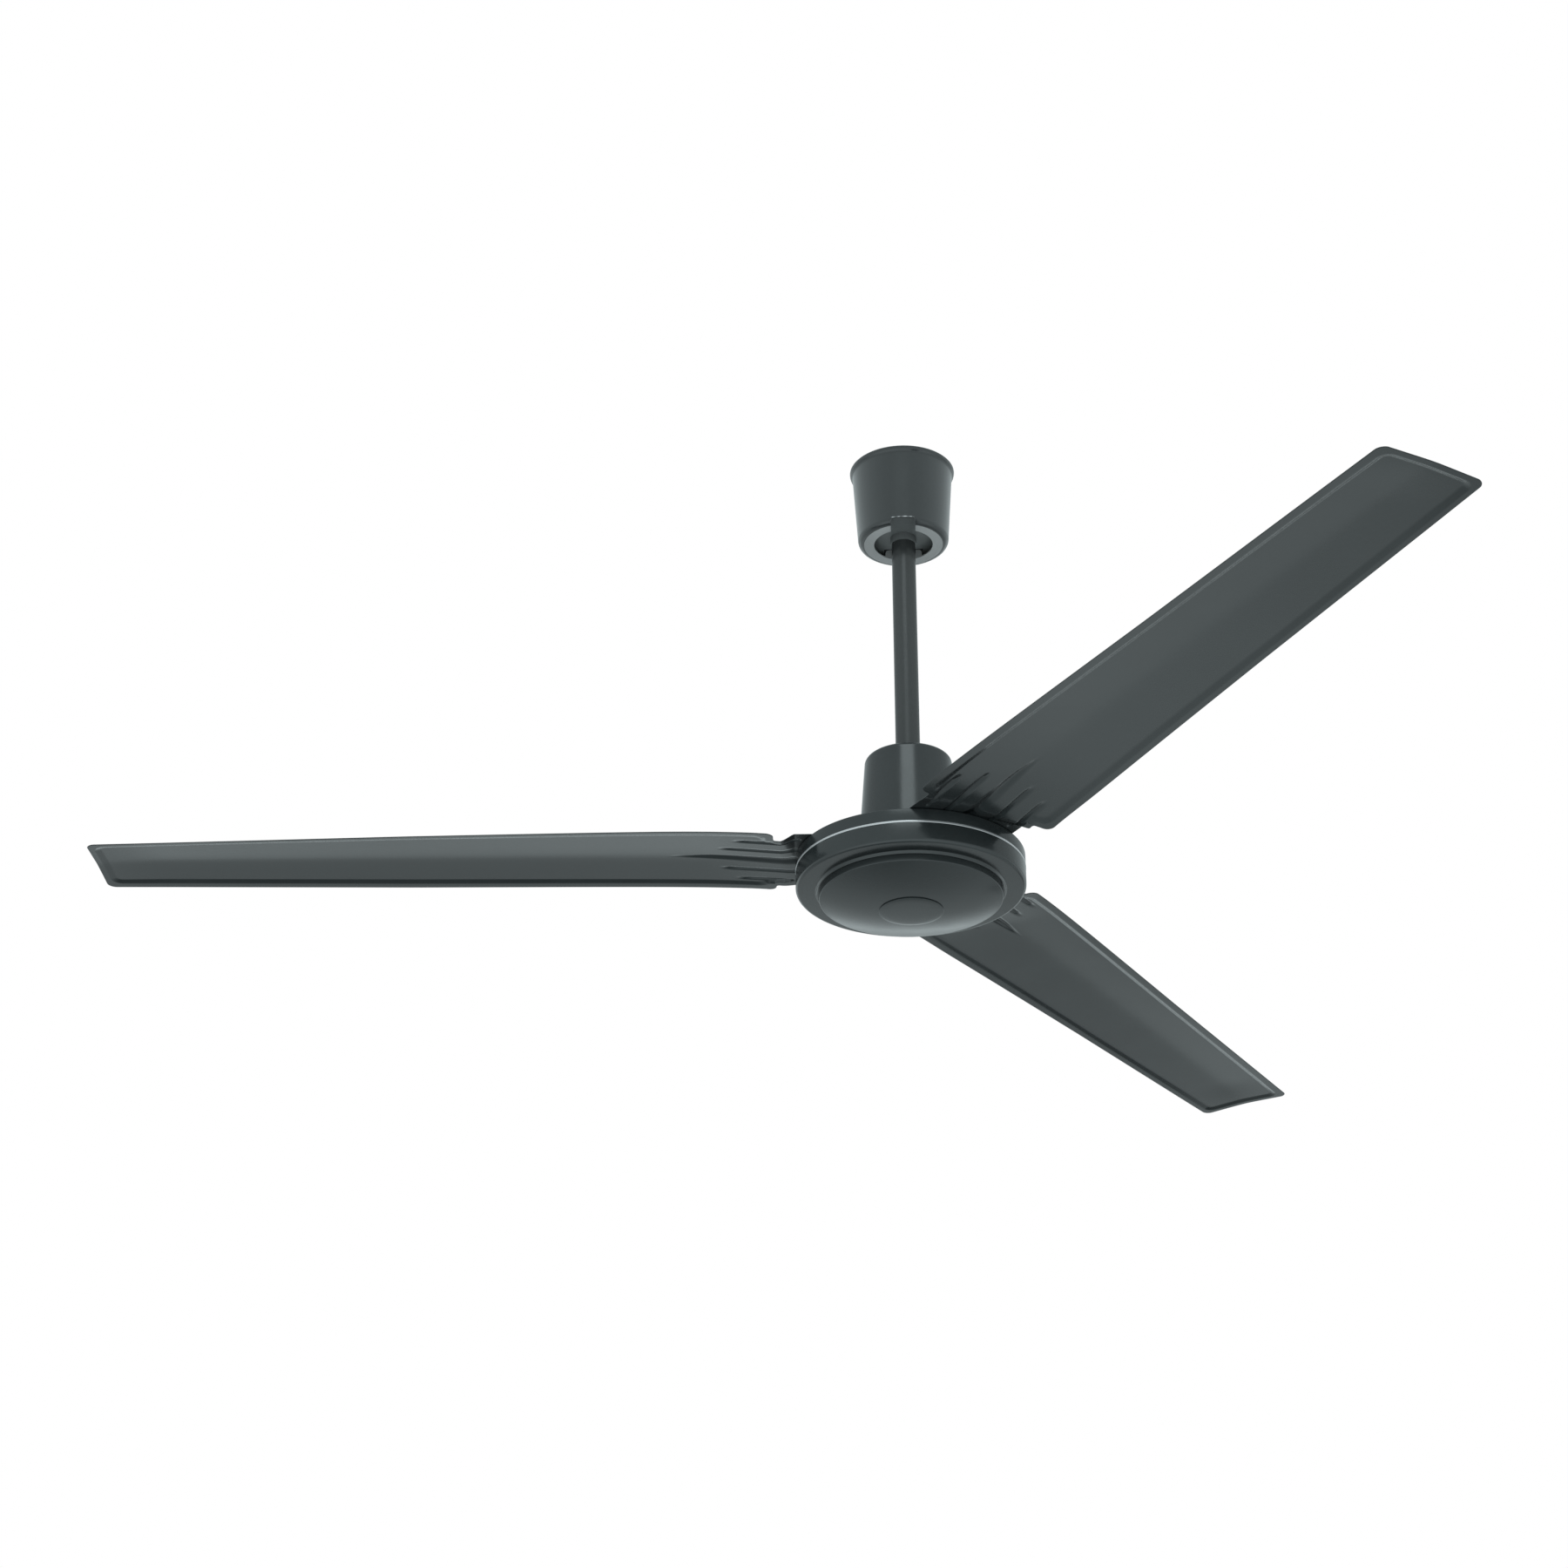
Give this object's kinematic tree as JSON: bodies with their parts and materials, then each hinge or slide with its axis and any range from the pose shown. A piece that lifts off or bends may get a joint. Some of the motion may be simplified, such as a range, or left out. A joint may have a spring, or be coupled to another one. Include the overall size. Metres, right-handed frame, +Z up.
{
  "type": "ceiling fan",
  "caption": "Ceiling fan hung from a hook on a down rod, with two rod covers, a flat outer-rotor motor housing with a domed cap, and ribbed pressed-steel blades.",
  "frame": {"origin": "centre of the ceiling plate's top face, on the ceiling plane and on the rod's axis", "axes": "+Z up, along the down rod and the motor shaft; +X along the hanger bolt and the two ceiling screws; -Y towards the notch in the top cover"},
  "size_m": [1.0971, 1.2518, 0.443],
  "materials": {
    "paint": "satin",
    "ring_metal": "matt zinc",
    "zinc": "zinc plated",
    "steel": "satin",
    "dark_iron": "as cast, oiled",
    "lamination": "varnished",
    "alloy": "cast",
    "painted_alloy": "satin paint",
    "copper": "varnished copper",
    "rubber": "matt",
    "wire_red": "satin",
    "wire_blue": "satin",
    "plastic_white": "satin"
  },
  "bodies": {
    "ceiling": {"ceiling_plate": "zinc", "ceiling_hook": "zinc"},
    "suspension": {"hanger_reel": "rubber", "hanger_shackle": "zinc", "hanger_bolt": "steel", "hanger_nut": "steel", "rod_bolts": "steel", "rod_nuts": "steel", "split_pins": "steel", "terminal_block": "plastic_white", "supply_leads": "wire_red", "downrod": "paint", "shaft_coupler": "dark_iron", "coupler_grub_screws": "steel", "run_capacitor": "plastic_white", "capacitor_bracket": "zinc", "motor_leads": "wire_blue", "motor_shaft": "steel", "stator_core": "lamination", "stator_windings": "copper", "upper_bearing_inner": "steel", "upper_bearing_balls": "steel", "lower_bearing_inner": "steel", "lower_bearing_balls": "steel"},
    "top_cover": {"canopy": "paint", "canopy_ring": "ring_metal", "canopy_strap": "paint", "canopy_collar": "paint", "canopy_grub_screw": "steel"},
    "bottom_cover": {"lower_canopy": "paint", "lower_canopy_grommet": "rubber"},
    "rotor": {"upper_bearing_outer": "steel", "lower_bearing_outer": "steel", "rotor_core": "lamination", "rotor_end_rings": "alloy", "motor_upper_cover": "painted_alloy", "motor_lower_cover": "painted_alloy", "tie_screws": "steel", "dome_cap": "paint", "cap_screw": "steel", "centre_disc": "paint", "blade_1": "paint", "blade_2": "paint", "blade_3": "paint", "blade_screws": "steel", "blade_washers": "steel"}
  },
  "joints": [
    {"name": "hanger_swing", "type": "hinge", "parent": "ceiling", "child": "suspension", "pos_m": [0, 0, -0.022], "axis": [1, 0, 0], "range_deg": [-2.5, 2.5]},
    {"name": "rotor_spin", "type": "hinge", "parent": "suspension", "child": "rotor", "pos_m": [0, 0, -0.3905], "axis": [0, 0, 1], "continuous": true},
    {"name": "top_cover_slide", "type": "slide", "parent": "suspension", "child": "top_cover", "axis": [0, 0, -1], "range_m": [0, 0.1]},
    {"name": "bottom_cover_slide", "type": "slide", "parent": "suspension", "child": "bottom_cover", "axis": [0, 0, 1], "range_m": [0, 0.08]}
  ]
}
